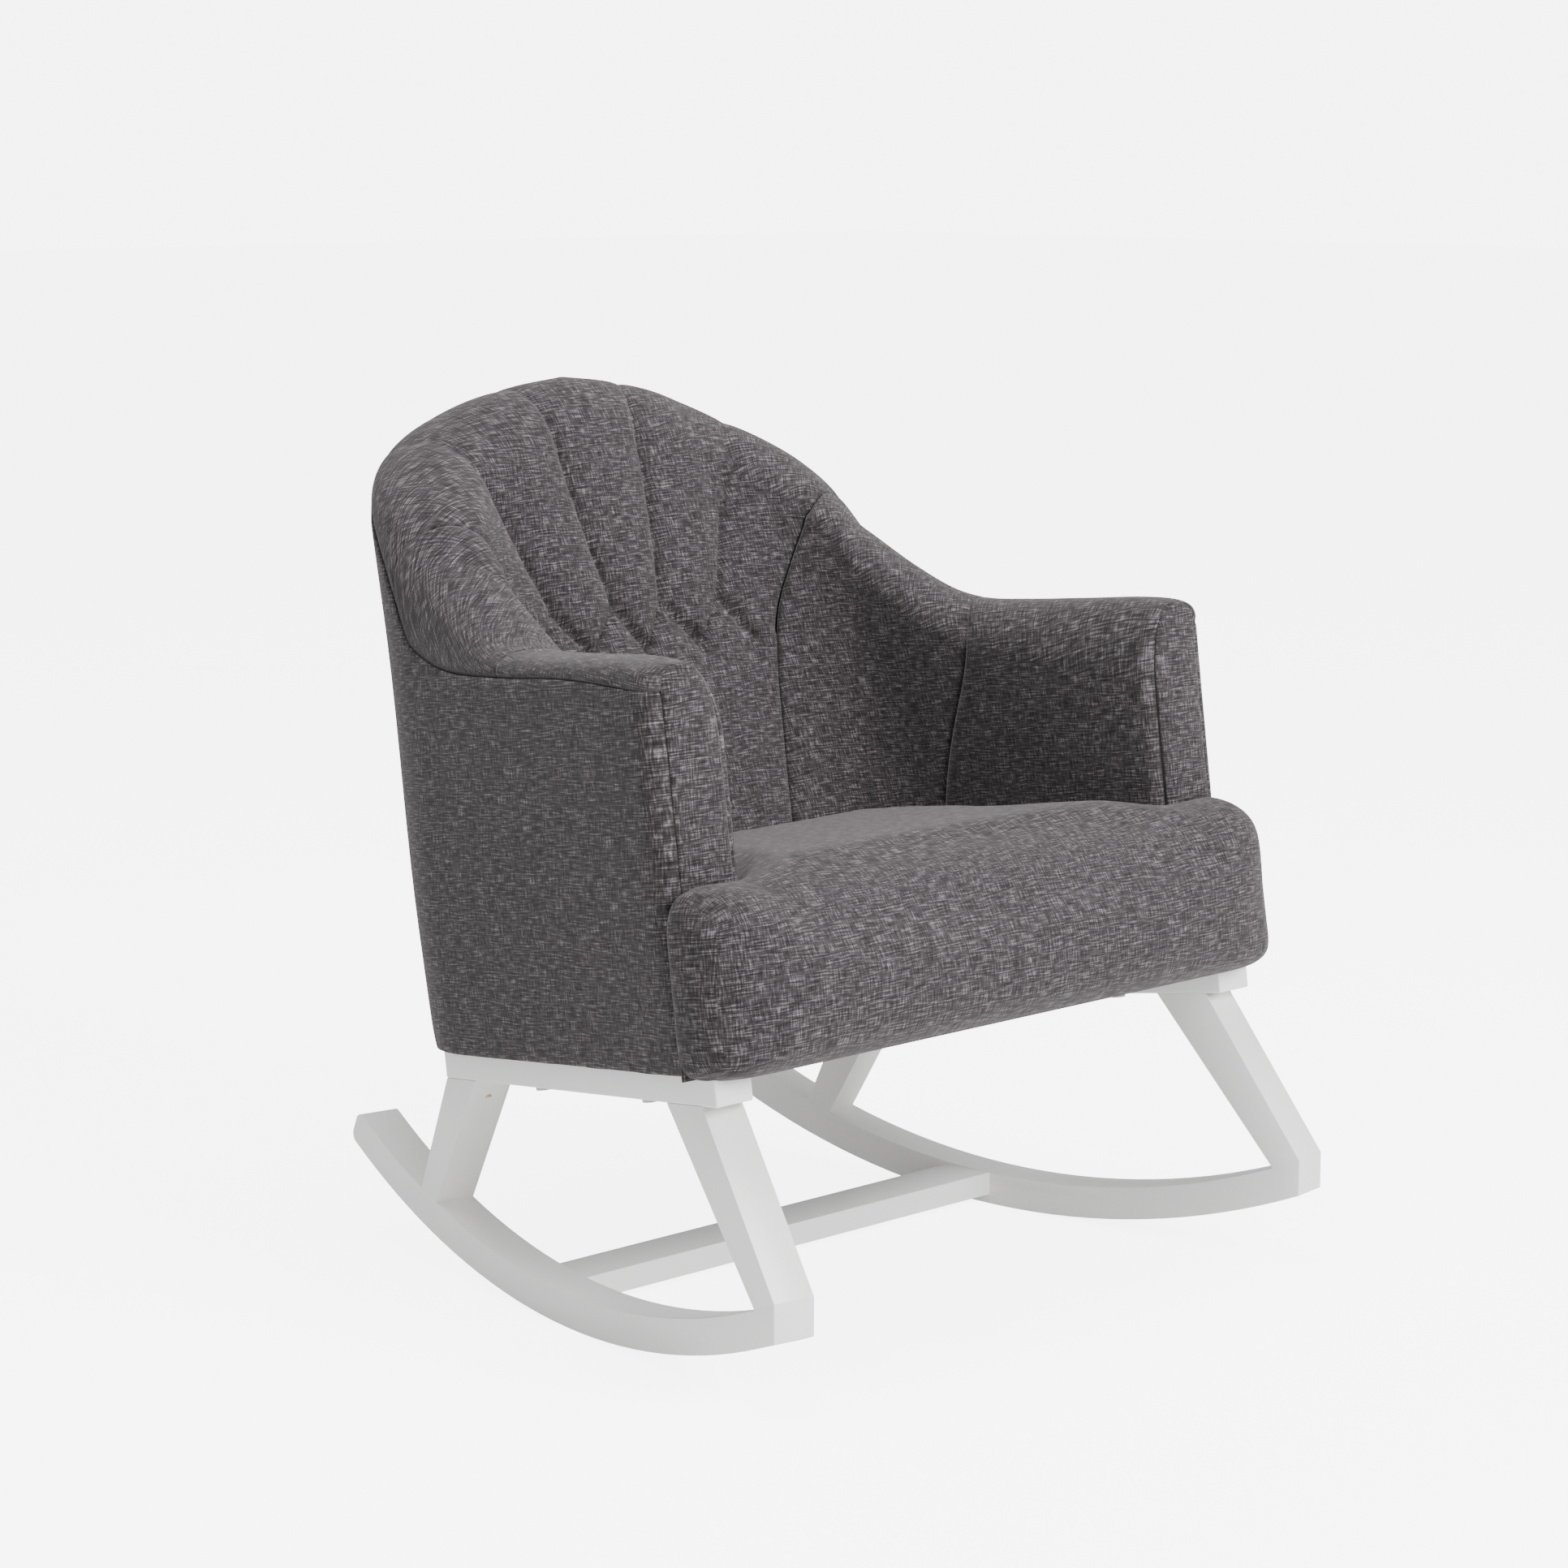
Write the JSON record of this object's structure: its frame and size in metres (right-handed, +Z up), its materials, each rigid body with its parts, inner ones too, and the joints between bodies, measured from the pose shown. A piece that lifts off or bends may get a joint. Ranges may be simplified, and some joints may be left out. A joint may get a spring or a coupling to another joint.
{
  "type": "nursery rocking chair",
  "caption": "Upholstered tub chair with rounded tufted back and low arms, bolted to a timber base with two curved rockers joined by a flat stretcher.",
  "frame": {"origin": "on the floor, under the middle of the chair's box", "axes": "+Z up, front towards -Y, sitter's left towards +X"},
  "size_m": [0.758, 0.7304, 0.842],
  "materials": {
    "white_timber": "satin white paint on solid timber",
    "bare_timber": "planed softwood, unfinished",
    "zinc_steel": "zinc plated",
    "fibreboard": "grey-brown upholstery board",
    "foam": "upholstery foam",
    "dust_cloth": "black non-woven cloth",
    "webbing": "elastic webbing",
    "felt": "needled felt",
    "grey_weave": "mottled dark grey basket weave"
  },
  "bodies": {
    "root": {"arm_cover_left": "grey_weave", "arm_cover_right": "grey_weave", "arm_facing_left": "grey_weave", "arm_facing_right": "grey_weave", "arm_pad_left": "foam", "arm_pad_right": "foam", "arm_post_left": "bare_timber", "arm_post_right": "bare_timber", "arm_top_rail_left": "bare_timber", "arm_top_rail_right": "bare_timber", "back_cover": "grey_weave", "back_mid_post_left": "bare_timber", "back_mid_post_right": "bare_timber", "back_pad": "foam", "back_panel": "fibreboard", "back_post_left": "bare_timber", "back_post_right": "bare_timber", "back_straps": "webbing", "back_top_rail": "bare_timber", "base_bolts": "zinc_steel", "base_rail_left": "white_timber", "base_rail_right": "white_timber", "base_washers": "zinc_steel", "corner_blocks": "bare_timber", "dust_cover": "dust_cloth", "front_leg_left": "white_timber", "front_leg_right": "white_timber", "leg_dowels": "bare_timber", "outer_cover": "grey_weave", "rear_leg_left": "white_timber", "rear_leg_right": "white_timber", "rocker_left": "white_timber", "rocker_right": "white_timber", "seat_cover": "grey_weave", "seat_foam": "foam", "seat_front_rail": "bare_timber", "seat_rear_rail": "bare_timber", "seat_sill_left": "bare_timber", "seat_sill_right": "bare_timber", "seat_springs": "zinc_steel", "side_cover_left": "grey_weave", "side_cover_right": "grey_weave", "side_pad_left": "foam", "side_pad_right": "foam", "side_panel_left": "fibreboard", "side_panel_right": "fibreboard", "spring_clips": "zinc_steel", "spring_cover": "felt", "stretcher": "white_timber", "stretcher_dowels": "bare_timber", "tee_nuts": "zinc_steel"}
  },
  "joints": []
}
